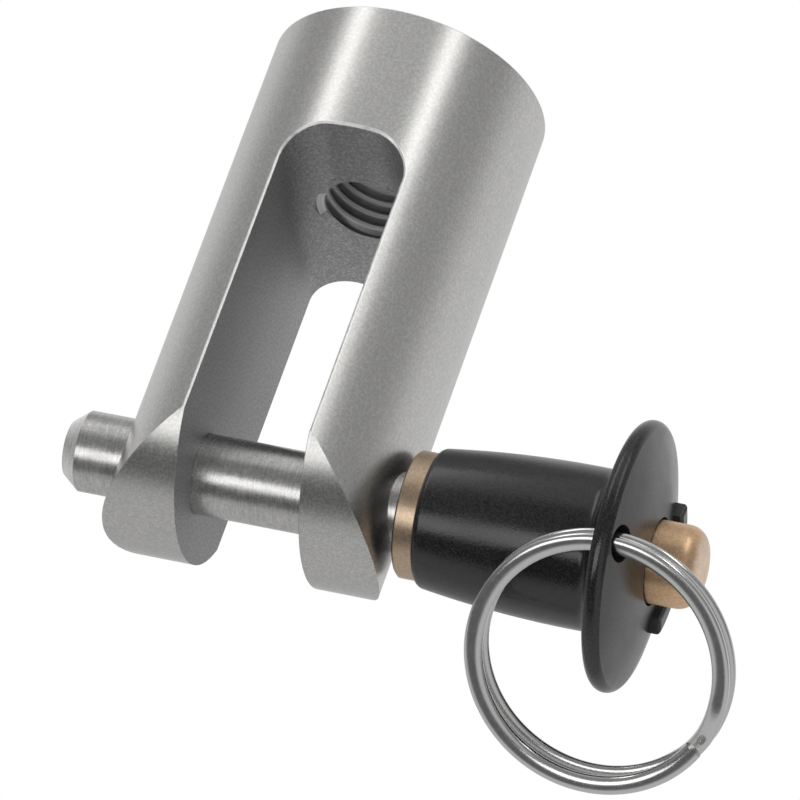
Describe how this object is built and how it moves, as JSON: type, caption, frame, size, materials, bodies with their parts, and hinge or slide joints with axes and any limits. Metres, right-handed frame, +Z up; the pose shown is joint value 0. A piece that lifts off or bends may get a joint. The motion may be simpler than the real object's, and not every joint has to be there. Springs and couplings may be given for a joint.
{
  "type": "tensile test grip",
  "caption": "Slotted cylindrical clevis grip with a threaded top and a push-button ball-lock pin through its ears, with a split ring on the pin's handle.",
  "frame": {"origin": "centre of the clevis body's top face, at the mouth of its threaded hole", "axes": "+Z up the load axis, out of the threaded hole; +X along the pin from its tip to its handle; +Y across the slot, away from the side shown in the picture"},
  "size_m": [0.1118, 0.0444, 0.109],
  "materials": {
    "body_steel": "satin turned stainless steel",
    "pin_steel": "finely turned steel",
    "ball_steel": "polished ball",
    "button_brass": "dull brass, slightly rough",
    "ferrule_brass": "satin turned brass",
    "handle_plastic": "black moulded plastic",
    "ring_steel": "bright polished wire",
    "spring_steel": "spring wire",
    "fastener_steel": "plain plated steel"
  },
  "bodies": {
    "clevis": {"clevis_body": "body_steel"},
    "pin": {"pin_shank": "pin_steel", "handle": "handle_plastic", "handle_ferrule": "ferrule_brass", "handle_nut": "fastener_steel", "nut_washer": "fastener_steel", "spring_seat": "fastener_steel", "return_spring": "spring_steel"},
    "button": {"push_button": "button_brass", "release_spindle": "pin_steel"},
    "ball_upper": {"locking_ball_upper": "ball_steel"},
    "ball_lower": {"locking_ball_lower": "ball_steel"},
    "ring": {"split_ring": "ring_steel"}
  },
  "joints": [
    {"name": "pin_slide", "type": "slide", "parent": "clevis", "child": "pin", "axis": [1, 0, 0], "range_m": [-0.0013, 0.06]},
    {"name": "button_release", "type": "slide", "parent": "pin", "child": "button", "axis": [1, 0, 0], "range_m": [0, 0.0025], "stiffness_N_per_m": 600, "springref_m": 0.006, "deforming": ["return_spring"]},
    {"name": "ball_upper_slide", "type": "slide", "parent": "pin", "child": "ball_upper", "axis": [0, 0, 1], "range_m": [0, 0.001]},
    {"name": "ball_lower_slide", "type": "slide", "parent": "pin", "child": "ball_lower", "axis": [0, 0, -1], "range_m": [0, 0.001]},
    {"name": "ring_swing", "type": "hinge", "parent": "pin", "child": "ring", "pos_m": [0.0587, -0.01528, -0.08365], "axis": [1, 0, 0], "range_deg": [-238, 0]}
  ],
  "couplings": [
    {"joint": "ball_upper_slide", "follows": "button_release", "ratio": 0.4},
    {"joint": "ball_lower_slide", "follows": "button_release", "ratio": 0.4}
  ]
}
